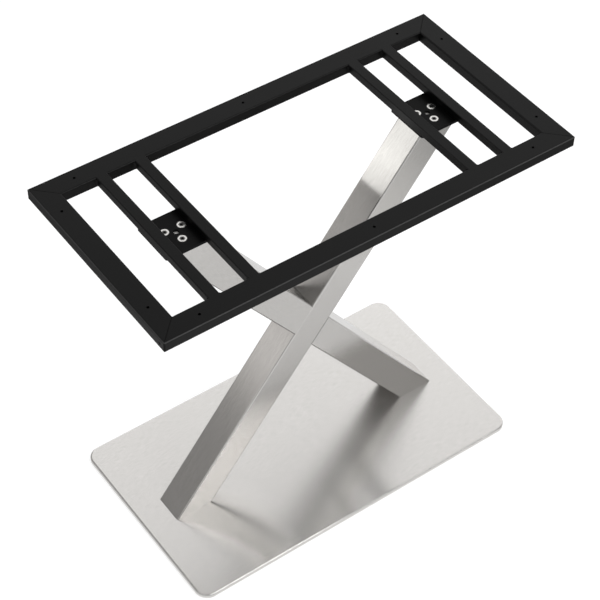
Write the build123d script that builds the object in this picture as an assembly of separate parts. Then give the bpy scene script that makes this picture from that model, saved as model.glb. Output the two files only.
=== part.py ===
# Table base: a cross of brushed square tubes on a flat floor plate, under a black frame for a table top.
# Millimetres, +Z up. X runs along the longer side, and the origin is the middle of the floor plate's underside.
from build123d import *
import math
import os

# Overall sizes
total_height = 710.0
frame_length = 800.0
frame_width = 400.0

# Floor plate
floor_plate_length = 700.0
floor_plate_width = 400.0
floor_plate_thickness = 8.0
floor_plate_corner = 25.0
floor_plate_edge_round = 3.0
foot_from_plate_end = 94.0

# Frame tube, laid flat, and its holes
frame_tube_width = 40.0
frame_tube_height = 20.0
frame_tube_wall = 2.0
frame_tube_corner = 2.5
frame_outer_corner = 3.0
mitre_groove = 0.7
table_screw_hole = 5.0
table_screw_from_corner = 75.0
vent_hole = 5.0
vent_from_corner = 12.5

# Crossbars, in two pairs
bar_width = 20.0
bar_height = 16.0
bar_wall = 1.5
bar_corner = 1.5
bar_pair_from_end = 150.0
bar_screw_clearance = 2.7
bar_weld = 3.5

# Mounting plates, one under each pair of bars
plate_width = 86.0
plate_thickness = 5.0
plate_corner_cut = 3.0
plate_set_in = 1.0
plate_centre_hole = 10.0

# Leg tube
leg_size = 60.0
leg_wall = 2.0
leg_corner = 3.0
leg_end_offset = 6.0
leg_seam_gap = 0.3

# End plates welded into the legs
end_plate_thickness = 8.0
end_plate_play = 0.2
screw_edge_distance = 10.0

# Screws, all countersunk: three in each mounting plate, one under the middle of each foot
top_screw_turns = (30, 150, 270)
screw_diameter = 8.0
screw_hole_play = 2.0
thread_play = 0.1
screw_socket = 5.0
socket_depth = 2.6
screw_head_diameter = 15.4
screw_head_sink = 0.3
screw_head_play = 0.1
top_screw_length = 16.0
foot_screw_length = 20.0

# Levels and places that follow from the sizes above
screw_circle = leg_size / 2 - leg_wall - screw_edge_distance
screw_reach = screw_circle * math.cos(math.radians(30))
bar_gap = 2 * (screw_reach + screw_head_diameter / 2 + bar_screw_clearance)
bar_pitch = bar_gap + bar_width
bar_level = total_height - bar_height
leg_top = bar_level - plate_thickness
bar_pair_centre = frame_length / 2 - bar_pair_from_end
leg_head = bar_pair_centre + leg_end_offset
leg_foot = floor_plate_length / 2 - foot_from_plate_end
leg_rise = leg_top - floor_plate_thickness
leg_angle = math.atan2(leg_foot + leg_head, leg_rise)
crossing_level = floor_plate_thickness + leg_rise * leg_foot / (leg_foot + leg_head)
leg_run = leg_rise / math.cos(leg_angle) + 2 * leg_size
far = 2 * max(frame_length, floor_plate_length, total_height)


def hollow_section(width, height, wall, corner):
    """Section of a welded rectangular tube: round corners outside, square corners inside."""
    return RectangleRounded(width, height, corner) - Rectangle(width - 2 * wall, height - 2 * wall)


def slab(low, high):
    """Everything between two levels."""
    return Pos(0, 0, (low + high) / 2) * Box(far, far, high - low)


def top_screw_places(side):
    """Points on the screw circle round a leg's upper end, on the left (side -1) or the right (side 1)."""
    turns = [math.radians(turn) for turn in top_screw_turns]
    centre_x = side * bar_pair_centre
    return [(centre_x + screw_circle * math.cos(turn), screw_circle * math.sin(turn)) for turn in turns]


def foot_screw_places(side):
    """The one point in the middle of a foot, on the left (side -1) or the right (side 1)."""
    return [(side * leg_foot, 0)]


def drilled(part, places, diameter):
    """The part with upright holes through it at these places."""
    for x, y in places:
        part -= Pos(x, y, 0) * Cylinder(diameter / 2, far)
    return part


def countersink(diameter, sink):
    """Cone with its wide end facing down, 90 degrees at the point, from this far above the origin."""
    return Pos(0, 0, sink) * Cone(diameter / 2, 0, diameter / 2, align=(Align.CENTER, Align.CENTER, Align.MIN))


def sunk_holes(part, places, level, turn):
    """The part with screw holes, sunk at this level for heads that face down (turn 0) or up (turn 180)."""
    part = drilled(part, places, screw_diameter + screw_hole_play)
    wide = screw_head_diameter + 2 * screw_head_sink + 2 * screw_head_play
    for x, y in places:
        part -= Pos(x, y, level) * Rot(turn, 0, 0) * countersink(wide, 0)
    return part


def floor_plate():
    """Heavy plate with rounded corners, a soft upper edge and sunk screw holes."""
    outline = RectangleRounded(floor_plate_length, floor_plate_width, floor_plate_corner)
    plate = extrude(outline, floor_plate_thickness)
    plate = fillet(plate.faces().sort_by(Axis.Z)[-1].edges(), floor_plate_edge_round)
    return sunk_holes(plate, foot_screw_places(-1) + foot_screw_places(1), 0, 0)


def leg_prism(lean, section):
    """Section run along a leg that leans towards +X (lean 1) or -X (lean -1), through the crossing."""
    along = (lean * math.sin(leg_angle), 0, math.cos(leg_angle))
    axis = Plane(origin=(0, 0, crossing_level), x_dir=(0, 1, 0), z_dir=along)
    return extrude(axis * section, leg_run, both=True)


def leg_tube(lean):
    """Whole tube, cut level at the floor plate and at the mounting plate."""
    tube = leg_prism(lean, hollow_section(leg_size, leg_size, leg_wall, leg_corner))
    return tube & slab(floor_plate_thickness, leg_top)


def leg_halves():
    """The second leg, coped round the long leg: the upper half and the lower half."""
    grown = leg_size + 2 * leg_seam_gap
    long_leg = leg_prism(1, RectangleRounded(grown, grown, leg_corner + leg_seam_gap))
    pieces = (leg_tube(-1) - long_leg).solids().sort_by(Axis.Z)
    return pieces[-1], pieces[0]


def end_plate(lean, at_top):
    """Plate that closes a leg's end, flush with the cut, with the threaded hole of each of its screws."""
    inside = leg_size - 2 * leg_wall - 2 * end_plate_play
    core = leg_prism(lean, Rectangle(inside, inside))
    if at_top:
        plate = core & slab(leg_top - end_plate_thickness, leg_top)
        places = top_screw_places(lean)
    else:
        plate = core & slab(floor_plate_thickness, floor_plate_thickness + end_plate_thickness)
        places = foot_screw_places(-lean)
    return drilled(plate, places, screw_diameter + 2 * thread_play)


def mounting_plate(side):
    """Black plate under a pair of bars, with three sunk screw holes round a centre hole."""
    centre_x = side * bar_pair_centre
    length = bar_pitch + bar_width - 2 * plate_set_in
    blank = Rectangle(length, plate_width)
    outline = chamfer(blank.vertices(), plate_corner_cut) - Circle(plate_centre_hole / 2)
    plate = Pos(centre_x, 0, leg_top) * extrude(outline, plate_thickness)
    return sunk_holes(plate, top_screw_places(side), bar_level, 180)


def frame_section_run(length, offset, section):
    """Frame section along X, with its outer face at y = -offset."""
    middle = Pos(0, -offset + frame_tube_width / 2, total_height - frame_tube_height / 2)
    return middle * extrude(Plane.YZ * section, length / 2, both=True)


def frame_side(length, width, screws):
    """One mitred side of the frame, along X on the front of a frame of this length and width."""
    section = hollow_section(frame_tube_width, frame_tube_height, frame_tube_wall, frame_tube_corner)
    side = frame_section_run(length, width / 2, section)
    inner_half = length / 2 - frame_tube_width
    inner_y = -width / 2 + frame_tube_width
    plan = Polyline(
        (-length / 2, -width / 2), (length / 2, -width / 2), (inner_half, inner_y), (-inner_half, inner_y), close=True
    )
    outline = RectangleRounded(length, width, frame_outer_corner)
    side &= extrude(make_face(plan) & outline, total_height)
    for end in (-1, 1):
        corner = Location((end * length / 2, -width / 2, total_height), (0, 0, 45 * end + 90))
        groove = Rot(45, 0, 0) * Box(4 * frame_tube_width, mitre_groove, mitre_groove)
        side -= corner * groove
    for x in screws:
        hole_y = -width / 2 + frame_tube_width / 2
        side -= Pos(x, hole_y, total_height) * Cylinder(table_screw_hole / 2, 4 * frame_tube_height)
    return side


def long_side():
    """Front side of the frame, with a table screw near each end and one in the middle."""
    reach = frame_length / 2 - table_screw_from_corner
    return frame_side(frame_length, frame_width, (-reach, 0, reach))


def short_side():
    """Side across the frame's end, drawn on the front, with a table screw near each end."""
    reach = frame_width / 2 - table_screw_from_corner
    return frame_side(frame_width, frame_length, (-reach, reach))


def left_side():
    """Left end of the frame, with the vent hole in its outer wall near the front corner."""
    vent = Pos(frame_width / 2 - vent_from_corner, -frame_length / 2, total_height - frame_tube_height / 2)
    drill = Rot(90, 0, 0) * Cylinder(vent_hole / 2, 2 * (frame_tube_wall + vent_hole / 2))
    return Rot(0, 0, -90) * (short_side() - vent * drill)


def crossbar(x):
    """Square-cut tube across the frame, coped to the sides' round edges, with its corner welds."""
    run = frame_width - 2 * frame_tube_width
    section = hollow_section(bar_width, bar_height, bar_wall, bar_corner)
    reach = run / 2 + frame_tube_corner
    bar = Pos(x, 0, bar_level + bar_height / 2) * extrude(Plane.XZ * section, reach, both=True)
    bead = make_face(Polyline((0, 0), (-bar_weld, 0), (0, -bar_weld), close=True))
    bead_height = bar_height - frame_tube_corner
    for end, side in ((1, 1), (1, -1), (-1, 1), (-1, -1)):
        corner = Pos(x + side * bar_width / 2, end * run / 2, bar_level)
        turn = {(1, 1): 90, (1, -1): 0, (-1, 1): 180, (-1, -1): 270}[(end, side)]
        bar += corner * Rot(0, 0, turn) * extrude(bead, bead_height)
    outer = RectangleRounded(frame_tube_width, frame_tube_height, frame_tube_corner)
    front = frame_section_run(frame_length, frame_width / 2, outer)
    return bar - front - Rot(0, 0, 180) * front


def hex_socket(depth):
    """Key socket that opens upwards at the origin."""
    return Pos(0, 0, -depth) * extrude(RegularPolygon(screw_socket / 2, 6, major_radius=False), 2 * depth)


def countersunk_screw(length):
    """Countersunk screw, head down, with its head just inside the face at the origin."""
    body = countersink(screw_head_diameter, screw_head_sink) & slab(screw_head_sink, length)
    body += Pos(0, 0, screw_head_sink) * extrude(Circle(screw_diameter / 2), length - screw_head_sink)
    return body - Pos(0, 0, screw_head_sink) * Rot(180, 0, 0) * hex_socket(socket_depth)


def screw_group(screw, places, level):
    """Copies of a screw at these places, with the heads at this level."""
    return [Pos(x, y, level) * screw for x, y in places]


def build_nodes():
    """Every piece by its node name; a group of like pieces is a list."""
    upper_half, lower_half = leg_halves()
    inner = bar_pair_centre - bar_pitch / 2
    outer = bar_pair_centre + bar_pitch / 2
    top_screw = Rot(180, 0, 0) * countersunk_screw(top_screw_length)
    foot_screw = countersunk_screw(foot_screw_length)
    return {
        "floor_plate": floor_plate(),
        "leg_long": leg_tube(1),
        "leg_upper_half": upper_half,
        "leg_lower_half": lower_half,
        "end_plate_top_left": end_plate(-1, True),
        "end_plate_top_right": end_plate(1, True),
        "end_plate_foot_left": end_plate(1, False),
        "end_plate_foot_right": end_plate(-1, False),
        "mounting_plate_left": mounting_plate(-1),
        "mounting_plate_right": mounting_plate(1),
        "frame_front": long_side(),
        "frame_back": Rot(0, 0, 180) * long_side(),
        "frame_left": left_side(),
        "frame_right": Rot(0, 0, 90) * short_side(),
        "crossbar_left_outer": crossbar(-outer),
        "crossbar_left_inner": crossbar(-inner),
        "crossbar_right_inner": crossbar(inner),
        "crossbar_right_outer": crossbar(outer),
        "top_screws": screw_group(top_screw, top_screw_places(-1) + top_screw_places(1), bar_level),
        "foot_screws": screw_group(foot_screw, foot_screw_places(-1) + foot_screw_places(1), 0),
    }


def main():
    os.makedirs("parts", exist_ok=True)
    for name, piece in build_nodes().items():
        shape = Compound(children=piece) if isinstance(piece, list) else piece
        shape.label = name
        export_step(shape, os.path.join("parts", name + ".step"))


main()
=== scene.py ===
# Looks of the cross-legged table base: brushed steel legs and floor plate under a black coated frame
import bpy
import math
from mathutils import Matrix, Vector


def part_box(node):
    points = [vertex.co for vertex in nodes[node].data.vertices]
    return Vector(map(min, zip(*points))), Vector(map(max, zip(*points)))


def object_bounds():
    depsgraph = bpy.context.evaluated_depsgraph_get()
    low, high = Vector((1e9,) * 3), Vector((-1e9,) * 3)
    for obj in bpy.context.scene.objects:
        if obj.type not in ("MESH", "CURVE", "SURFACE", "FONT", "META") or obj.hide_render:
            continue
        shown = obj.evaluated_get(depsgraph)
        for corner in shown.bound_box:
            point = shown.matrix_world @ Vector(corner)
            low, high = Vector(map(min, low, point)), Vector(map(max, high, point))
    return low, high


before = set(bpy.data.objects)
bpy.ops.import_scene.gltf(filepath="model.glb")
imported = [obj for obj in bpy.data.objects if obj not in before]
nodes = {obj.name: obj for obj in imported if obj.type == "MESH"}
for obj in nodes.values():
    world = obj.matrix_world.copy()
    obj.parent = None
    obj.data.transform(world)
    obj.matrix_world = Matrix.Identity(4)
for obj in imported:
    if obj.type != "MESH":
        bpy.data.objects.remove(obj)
cadLow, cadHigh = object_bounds()
print("frame loaded:", len(nodes), "nodes")


class Wire:  # a socket that can stand in a sum
    def __init__(self, finish, socket):
        self.finish = finish
        self.socket = socket

    def sum(self, operation, *terms):
        return self.finish.node("ShaderNodeMath", {"operation": operation}, dict(enumerate(terms)))

    def __add__(self, other):
        return self.sum("ADD", self, other)

    def __radd__(self, other):
        return self.sum("ADD", other, self)

    def __sub__(self, other):
        return self.sum("SUBTRACT", self, other)

    def __rsub__(self, other):
        return self.sum("SUBTRACT", other, self)

    def __mul__(self, other):
        return self.sum("MULTIPLY", self, other)

    def __rmul__(self, other):
        return self.sum("MULTIPLY", other, self)

    def __truediv__(self, other):
        return self.sum("DIVIDE", self, other)

    def __abs__(self):
        return self.sum("ABSOLUTE", self)

    def least(self, other):
        return self.sum("MINIMUM", self, other)


class Finish:  # the nodes of one material, or of the studio's light
    def __init__(self, tree):
        self.tree = tree
        self.tree.nodes.clear()

    def node(self, kind, settings, sockets, out=0):
        made = self.tree.nodes.new(kind)
        for name, value in settings.items():
            if name == "stops":
                self.setStops(made.color_ramp, value)
            else:
                setattr(made, name, value)
        for name, value in sockets.items():
            if isinstance(value, Wire):
                self.tree.links.new(value.socket, made.inputs[name])
            else:
                made.inputs[name].default_value = value
        return Wire(self, made.outputs[out]) if made.outputs else None

    def setStops(self, ramp, stops):
        while len(ramp.elements) < len(stops):
            ramp.elements.new(1.0)
        for element, (place, value) in zip(ramp.elements, stops):
            element.position = place
            element.color = (value, value, value, 1)

    def rise(self, value, low, high):  # smooth step from 0 at low to 1 at high
        limits = {"Value": value, "From Min": low, "From Max": high}
        return self.node("ShaderNodeMapRange", {"interpolation_type": "SMOOTHSTEP"}, limits)

    def vector(self, operation, first, second=(0, 0, 0), out="Vector"):
        return self.node("ShaderNodeVectorMath", {"operation": operation}, {0: first, 1: second}, out)

    def scaled(self, vector, factor):
        sockets = {0: vector, "Scale": factor}
        return self.node("ShaderNodeVectorMath", {"operation": "SCALE"}, sockets, "Vector")

    def blend(self, share, first, second):
        settings = {"data_type": "RGBA"}
        return self.node("ShaderNodeMix", settings, {0: share, 6: first, 7: second}, 2)

    def noise(self, place, detail):
        return self.node("ShaderNodeTexNoise", {}, {"Vector": place, "Scale": 1.0, "Detail": detail})

    def cloud(self, place, size, detail):
        return self.noise(self.scaled(place, 1 / size), detail)


def newFinish(name):
    material = bpy.data.materials.new(name)
    material.use_nodes = True
    return material, Finish(material.node_tree)


def coat(material, *names):
    for name in names:
        mesh = nodes[name].data
        mesh.materials.clear()
        mesh.materials.append(material)


steel = {
    "colour": (0.500, 0.489, 0.475, 1),
    "darkGrainAndPaintedShade": (0.350, 0.342, 0.331, 1),
    "anisotropy": 1.0,
    "quarterTurn": 0.25,               # the blur runs across the grain
    "hair": (0.013, 0.0010, 2),        # finest lines: length and width in metres, noise detail
    "streak": (0.09, 0.0018, 2),
    "band": (0.7, 0.03, 1),
    "shares": (0.84, 0.11, 0.05),      # of hair, streak and band in the shade
    "middle": 0.5,                     # where the noise has its mean
}
plateBrush = {
    "metal": 0.93, "roughness": 0.165, "spread": 0.02,
    "skew": 0.02,                      # grain a little off X, so that the end faces have one as well
    "paintedEdgeHighlight": (0.60, 0.588, 0.57, 1),   # painted highlight: the plate's sides painted paler, up to this height
    "paintedHighlightTop": 0.0062,
    "paintedHighlightBlend": 0.0012,
}
legBrush = {"metal": 1.0, "roughness": 0.175, "spread": 0.03}


def brushedSteel(name, grain, brush):
    side = Vector((0, 1, 0))
    rise = Vector(grain).cross(side)
    material, finish = newFinish(name)
    place = finish.node("ShaderNodeTexCoord", {}, {}, "Object")
    along = finish.vector("DOT_PRODUCT", place, grain, "Value")
    across = finish.vector("DOT_PRODUCT", place, side, "Value")
    deep = finish.vector("DOT_PRODUCT", place, rise, "Value")

    def lines(length, width, detail):
        spread = {"X": along / length, "Y": across / width, "Z": deep / width}
        return finish.noise(finish.node("ShaderNodeCombineXYZ", {}, spread), detail)

    hair = lines(*steel["hair"])
    streak = lines(*steel["streak"])
    band = lines(*steel["band"])
    hairShare, streakShare, bandShare = steel["shares"]
    shade = hair * hairShare + streak * streakShare + band * bandShare
    colour = finish.blend(shade, steel["darkGrainAndPaintedShade"], steel["colour"])
    # the plate's sides, up to the edge height, are painted paler: a painted highlight
    if "paintedEdgeHighlight" in brush:
        height = finish.vector("DOT_PRODUCT", place, (0, 0, 1), "Value")
        edge = finish.rise(height, brush["paintedHighlightTop"], brush["paintedHighlightTop"] - brush["paintedHighlightBlend"])
        colour = finish.blend(edge, colour, brush["paintedEdgeHighlight"])
    grainWay = finish.node("ShaderNodeCombineXYZ", {}, dict(enumerate(grain)))
    surface = finish.node("ShaderNodeBsdfPrincipled", {}, {
        "Base Color": colour, "Metallic": brush["metal"],
        "Roughness": brush["roughness"] + (streak - steel["middle"]) * brush["spread"],
        "Anisotropic": steel["anisotropy"], "Anisotropic Rotation": steel["quarterTurn"],
        "Tangent": grainWay,
    })
    finish.node("ShaderNodeOutputMaterial", {}, {"Surface": surface})
    return material


blackCoat = {
    "colour": (0.0014, 0.0014, 0.0014, 1),
    "paleColour": (0.0022, 0.0022, 0.0021, 1),
    "paintedEdgeHighlight": (0.034, 0.034, 0.034, 1),   # painted highlight: paler on the frame's rounded outer upper edge
    "paintedInnerEdgeHighlight": (0.010, 0.010, 0.010, 1),   # weaker painted highlight on the tubes' other rounded upper edges
    "paintedHighlightReach": (0.006, 0.004),       # how far the outer painted highlight reaches in from the frame's outside
    "paintedHighlightSlope": (0.2, 0.45, 0.85, 0.97),   # how far up an edge faces to get the painted highlight, fading in and out
    "grooveLimit": (0.02, 0.004),      # keeps the mitres' slanting grooves black, without the painted highlight
    "grain": (0.0012, 2),              # size in metres and noise detail
    "cloud": (0.055, 3),
    "bump": {"Strength": 0.25, "Distance": 0.0002},
    "roughness": 0.34,
    "spread": 0.08,
    "shine": 0.064,
    "plateShine": 0.035,
}
axes = ((1, 0, 0), (0, 1, 0), (0, 0, 1))


def powderCoat(name, shine):
    material, finish = newFinish(name)
    place = finish.node("ShaderNodeTexCoord", {}, {}, "Object")
    grain = finish.cloud(place, *blackCoat["grain"])
    cloud = finish.cloud(place, *blackCoat["cloud"])
    colour = finish.blend(cloud, blackCoat["colour"], blackCoat["paleColour"])
    facing = finish.node("ShaderNodeNewGeometry", {}, {}, "Normal")
    right, far, up = [finish.vector("DOT_PRODUCT", facing, way, "Value") for way in axes]
    # painted highlight on the rounded upper edges, stronger along the frame's outside
    low, lowEnd, highStart, high = blackCoat["paintedHighlightSlope"]
    slant = right * far
    edge = finish.rise(up, low, lowEnd) * finish.rise(up, high, highStart)
    edge = edge * finish.rise(slant * slant, *blackCoat["grooveLimit"])
    highlightRims = []
    for way, reach in zip(axes[:2], cadHigh):
        away = abs(finish.vector("DOT_PRODUCT", place, way, "Value"))
        highlightRims.append(finish.rise(away, *[reach - inset for inset in blackCoat["paintedHighlightReach"]]))
    paintedRim = highlightRims[0] + highlightRims[1]
    # the paler colours blended in here are painted highlights
    colour = finish.blend(edge, colour, blackCoat["paintedInnerEdgeHighlight"])
    colour = finish.blend(edge * paintedRim, colour, blackCoat["paintedEdgeHighlight"])
    bump = finish.node("ShaderNodeBump", {}, {**blackCoat["bump"], "Height": grain})
    surface = finish.node("ShaderNodeBsdfPrincipled", {}, {
        "Base Color": colour, "Roughness": blackCoat["roughness"] + cloud * blackCoat["spread"],
        "Specular IOR Level": shine, "Normal": bump,
    })
    finish.node("ShaderNodeOutputMaterial", {}, {"Surface": surface})
    return material


turned = {"cloud": (0.0025, 2), "spread": 0.1}
endSteel = {"colour": (0.75, 0.74, 0.72, 1), "roughness": 0.55}
screwHead = {
    "colour": (0.37, 0.362, 0.35, 1), "roughness": 0.2,
    "darkGrainAndPaintedShade": (0.07, 0.069, 0.066, 1),   # painted shade in the socket and on the head's outer rim
    "socket": (0.0018, 0.0026),        # radius where the painted shade in the socket ends and the bright ring begins
    # radius where the bright ring ends and the painted shade on the outer rim begins
    "paintedRim": (0.0043, 0.0050),
}


def turnedSteel(name, metal):
    material, finish = newFinish(name)
    place = finish.node("ShaderNodeTexCoord", {}, {}, "Object")
    cloud = finish.cloud(place, *turned["cloud"])
    surface = finish.node("ShaderNodeBsdfPrincipled", {}, {
        "Base Color": metal["colour"], "Metallic": 1.0,
        "Roughness": metal["roughness"] + cloud * turned["spread"],
    })
    finish.node("ShaderNodeOutputMaterial", {}, {"Surface": surface})
    return material


def screwSteel(name, centres):          # bright ring on each head, with painted shade in the socket and on the outer rim
    material, finish = newFinish(name)
    place = finish.node("ShaderNodeTexCoord", {}, {}, "Object")
    flat = finish.vector("MULTIPLY", place, (1, 1, 0))
    away = [finish.vector("DISTANCE", flat, centre, "Value") for centre in centres]
    radius = away[0]
    for other in away[1:]:
        radius = radius.least(other)
    ring = finish.rise(radius, *screwHead["socket"]) * finish.rise(radius, *reversed(screwHead["paintedRim"]))
    cloud = finish.cloud(place, *turned["cloud"])
    surface = finish.node("ShaderNodeBsdfPrincipled", {}, {
        "Base Color": finish.blend(ring, screwHead["darkGrainAndPaintedShade"], screwHead["colour"]), "Metallic": 1.0,
        "Roughness": screwHead["roughness"] + cloud * turned["spread"],
    })
    finish.node("ShaderNodeOutputMaterial", {}, {"Surface": surface})
    return material


def screwCentres(name):                 # middles of the separate screws in one node, seen from above
    mesh = nodes[name].data
    group = list(range(len(mesh.vertices)))

    def first(index):
        while group[index] != index:
            group[index] = group[group[index]]
            index = group[index]
        return index

    for edge in mesh.edges:
        low, high = sorted(first(index) for index in edge.vertices)
        group[high] = low
    boxes = {}
    for index, vertex in enumerate(mesh.vertices):
        boxes.setdefault(first(index), []).append(vertex.co)
    centres = []
    for points in boxes.values():
        spans = [[point[i] for point in points] for i in (0, 1)]
        middle = [(min(span) + max(span)) / 2 for span in spans]
        centres.append((*middle, 0))
    return centres


cutDepth = 0.001                       # how near a leg's end its cut's corners lie, metres


def legAxis(name):  # from the middle of the leg's lower cut to the middle of its upper cut
    low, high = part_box(name)
    points = [vertex.co for vertex in nodes[name].data.vertices]
    foot = [point.x for point in points if point.z < low.z + cutDepth]
    head = [point.x for point in points if point.z > high.z - cutDepth]
    lean = (min(head) + max(head) - min(foot) - max(foot)) / 2
    return Vector((lean, 0, high.z - low.z)).normalized()


longGrain = legAxis("leg_long")
crossGrain = Vector((-longGrain.x, 0, longGrain.z))
print("leg leans by", round(math.degrees(math.acos(longGrain.z)), 2), "degrees")

plateGrain = Vector((1, plateBrush["skew"], 0)).normalized()
coat(brushedSteel("plateSteel", plateGrain, plateBrush), "floor_plate")
coat(brushedSteel("longLegSteel", longGrain, legBrush), "leg_long")
coat(brushedSteel("crossLegSteel", crossGrain, legBrush), "leg_upper_half", "leg_lower_half")
frameBlack = powderCoat("frameBlack", blackCoat["shine"])
coat(frameBlack, *[name for name in nodes if name.startswith(("frame_", "crossbar_"))])
coat(powderCoat("plateBlack", blackCoat["plateShine"]), "mounting_plate_left", "mounting_plate_right")
endMetal = turnedSteel("endPlateSteel", endSteel)
coat(endMetal, *[name for name in nodes if name.startswith("end_plate")])
for group in ("top_screws", "foot_screws"):
    centres = screwCentres(group)
    coat(screwSteel(group + "Steel", centres), group)
    print(group, "has", len(centres), "screws")
print("finishes done")

studio = {
    "floorSize": 12.0, "floorDrop": 0.0003, "floorRoughness": 0.9,
    "floorColour": (0.42, 0.42, 0.42, 1), "floorGlow": 0.62,
}
keyLight = {"place": (0.2, -1.9, 2.2), "target": (0, 0, 0.1), "size": (1.7, 0.6), "power": 28}
fillLight = {"place": (1.8, -1.75, 3.2), "target": (0.2, 0, 0.1), "size": (0.8, 0.7), "power": 2.3}
topLight = {"place": (-1.0, 0.1, 2.4), "target": (-0.4, 0, 0), "size": (1.4, 1.4), "power": 9}


def studioFloor():
    half = studio["floorSize"] / 2
    mesh = bpy.data.meshes.new("studioFloor")
    corners = [(-half, -half, 0), (half, -half, 0), (half, half, 0), (-half, half, 0)]
    mesh.from_pydata(corners, [], [(0, 1, 2, 3)])
    floor = bpy.data.objects.new("studioFloor", mesh)
    floor.location.z = cadLow.z - studio["floorDrop"]
    bpy.context.scene.collection.objects.link(floor)
    material, finish = newFinish("floorWhite")
    surface = finish.node("ShaderNodeBsdfPrincipled", {}, {
        "Base Color": studio["floorColour"], "Roughness": studio["floorRoughness"],
        "Emission Color": (1, 1, 1, 1), "Emission Strength": studio["floorGlow"],
    })
    finish.node("ShaderNodeOutputMaterial", {}, {"Surface": surface})
    mesh.materials.append(material)


def softbox(name, box):
    lamp = bpy.data.lights.new(name, "AREA")
    lamp.shape = "RECTANGLE"
    lamp.size, lamp.size_y = box["size"]
    lamp.energy = box["power"]
    light = bpy.data.objects.new(name, lamp)
    light.visible_camera = False
    light.location = box["place"]
    way = Vector(box["target"]) - Vector(box["place"])
    light.rotation_euler = way.to_track_quat("-Z", "Y").to_euler()
    bpy.context.scene.collection.objects.link(light)


skyGlow = {
    "front": 0.8,                      # brightness towards the front, without the softbox
    "back": [(0.0, 1.1), (0.3, 1.1), (0.46, 2.6), (0.62, 2.6), (0.77, 1.5), (1.0, 1.25)],   # by height
    "backLeft": 0.3,
    "leftFade": (0.22, 0.06),          # from the back's glow to the back left's
    "backFade": (-0.25, 0.2),          # from the front's glow to the back's
    "most": 5.0,                       # the ramp holds brightness divided by this
}
leftCard = {                           # gives the long leg's upper face its bright and dark bands
    "corner": (-1.9125, -0.1893, 0), "width": (1.308, 2.0136, 0), "length": (0, 0, 1.3),
    "tint": (1, 0.982, 0.967), "most": 3.0,   # the ramp holds brightness divided by this
    "glow": [(0.0, 0.38), (0.22, 0.46), (0.41, 0.46), (0.5, 1.22), (0.57, 1.52),
             (0.75, 0.58), (1.1, 0.95)],
}
topCard = {                            # close by: its lower end shows as a clear line on the long leg
    "corner": (-0.03, 0.08, 0.641), "width": (0.19, 0, -0.0684), "length": (0, 0, 0.16),
    "tint": (1, 1, 0.985), "most": 3.0,
    "glow": [(0.0, 1.9), (0.06, 2.35), (0.1, 2.1), (0.16, 2.05)],
}
floorCard = {                          # dims the floor on the right that the legs' front faces mirror
    "corner": (0.4, -0.25, 0.002), "width": (0, -0.5, 0), "length": (0.8, 0, 0),
    "tint": (1, 1, 0.985), "most": 2.0,
    "glow": [(0.0, 1.1), (0.1, 1.08), (0.22, 0.92), (0.33, 0.58), (0.45, 0.42)],
}
frontCard = {                          # draws the bright lines on the rounded front edges
    "corner": (1.75, -2.0, 1.28), "width": (-1.4, 0, 0), "length": (0, 0, 0.34),
    "tint": (1, 1, 1), "most": 5.0,
    "glow": [(0.0, 4.5), (0.34, 4.5)],
}
nearCard = {                           # lifts the frame's front side
    "corner": (-0.55, -0.66, 0.002), "width": (0, -0.8, 0), "length": (1.4, 0, 0),
    "tint": (1, 1, 1), "most": 2.0,
    "glow": [(0.0, 1.8), (0.7, 1.75), (1.05, 1.25), (1.4, 0.65)],
}
farCard = {                            # dims the frame's left side towards the back
    "corner": (-1.4, 0.2, 0.002), "width": (1.0, 0, 0), "length": (0, 0.9, 0),
    "tint": (1, 1, 1), "most": 2.0,
    "glow": [(0.0, 0.95), (0.15, 0.85), (0.3, 0.62), (0.55, 0.38)],
}


def glowCard(name, card):               # glowing card that only shiny surfaces mirror
    width, length = Vector(card["width"]), Vector(card["length"])
    mesh = bpy.data.meshes.new(name)
    mesh.from_pydata([(0, 0, 0), width, width + length, length], [], [(0, 1, 2, 3)])
    made = bpy.data.objects.new(name, mesh)
    made.location = card["corner"]
    made.visible_camera = False
    made.visible_diffuse = False
    made.visible_shadow = False
    bpy.context.scene.collection.objects.link(made)
    material, finish = newFinish(name)
    place = finish.node("ShaderNodeTexCoord", {}, {}, "Object")
    slope = length - width * (length.dot(width) / width.length_squared)
    along = finish.vector("DOT_PRODUCT", place, slope / slope.length_squared, "Value")
    stops = [(spot / length.length, glow / card["most"]) for spot, glow in card["glow"]]
    glow = finish.node("ShaderNodeValToRGB", {"stops": stops}, {0: along})
    tinted = finish.vector("MULTIPLY", glow, card["tint"])
    shine = finish.node("ShaderNodeEmission", {}, {"Color": tinted, "Strength": card["most"]})
    clear = finish.node("ShaderNodeBsdfTransparent", {}, {})
    behind = finish.node("ShaderNodeNewGeometry", {}, {}, "Backfacing")
    surface = finish.node("ShaderNodeMixShader", {}, {0: behind, 1: shine, 2: clear})
    finish.node("ShaderNodeOutputMaterial", {}, {"Surface": surface})
    mesh.materials.append(material)


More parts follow.
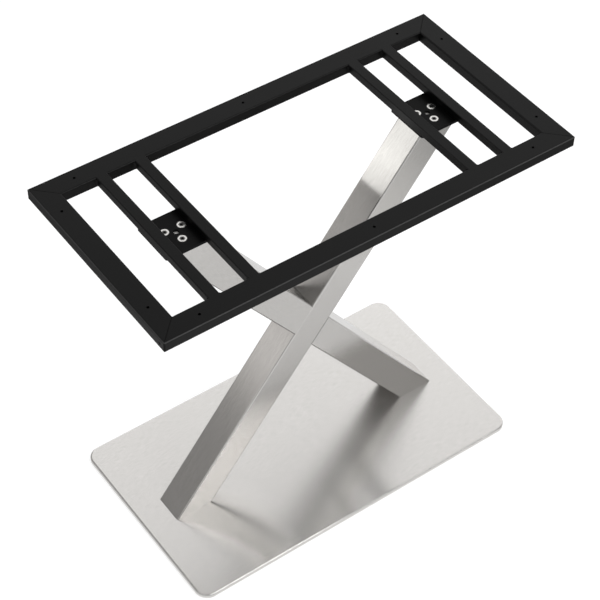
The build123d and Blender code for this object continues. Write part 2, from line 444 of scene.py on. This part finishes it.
def studioWorld():
    world = bpy.data.worlds.new("studioWorld")
    world.use_nodes = True
    bpy.context.scene.world = world
    finish = Finish(world.node_tree)
    way = finish.node("ShaderNodeTexCoord", {}, {}, "Generated")
    toRight = finish.vector("DOT_PRODUCT", way, (1, 0, 0), "Value")
    toBack = finish.vector("DOT_PRODUCT", way, (0, 1, 0), "Value")
    height = finish.vector("DOT_PRODUCT", way, (0, 0, 1), "Value")
    most = skyGlow["most"]
    grey = {name: (skyGlow[name] / most,) * 3 + (1,) for name in ("front", "backLeft")}
    backStops = [(place, glow / most) for place, glow in skyGlow["back"]]
    back = finish.node("ShaderNodeValToRGB", {"stops": backStops}, {0: height})
    back = finish.blend(finish.rise(toRight, *skyGlow["leftFade"]), back, grey["backLeft"])
    glow = finish.blend(finish.rise(toBack, *skyGlow["backFade"]), grey["front"], back)
    seen = finish.node("ShaderNodeLightPath", {}, {}, "Is Camera Ray")
    glow = finish.blend(seen, glow, (1 / most,) * 3 + (1,))
    sky = finish.node("ShaderNodeBackground", {}, {"Color": glow, "Strength": most})
    finish.node("ShaderNodeOutputWorld", {}, {"Surface": sky})


studioFloor()
studioWorld()
for name, card in (("leftCard", leftCard), ("topCard", topCard), ("floorCard", floorCard),
                   ("frontCard", frontCard), ("nearCard", nearCard), ("farCard", farCard)):
    glowCard(name, card)
for name, box in (("keyLight", keyLight), ("fillLight", fillLight), ("topLight", topLight)):
    softbox(name, box)
bpy.context.scene.view_settings.view_transform = "Standard"
print("studio done")

camera = {
    "eye": (-1.27196, -1.69528, 2.62552),   # metres, from the photo's straight edges
    "forward": (0.41152, 0.55102, -0.72596),
    "right": (0.81188, -0.58357, 0.01728),
    "lens": 106.293,
    "sensor": 36.0,
}


def photoCamera():
    lens = bpy.data.cameras.new("photoCamera")
    lens.lens = camera["lens"]
    lens.sensor_width = camera["sensor"]
    made = bpy.data.objects.new("photoCamera", lens)
    back = -Vector(camera["forward"]).normalized()
    right = Vector(camera["right"])
    right = (right - back * right.dot(back)).normalized()
    up = back.cross(right)
    turn = Matrix((right, up, back)).transposed()
    made.matrix_world = Matrix.Translation(camera["eye"]) @ turn.to_4x4()
    bpy.context.scene.collection.objects.link(made)
    bpy.context.scene.camera = made


photoCamera()
print("camera done")
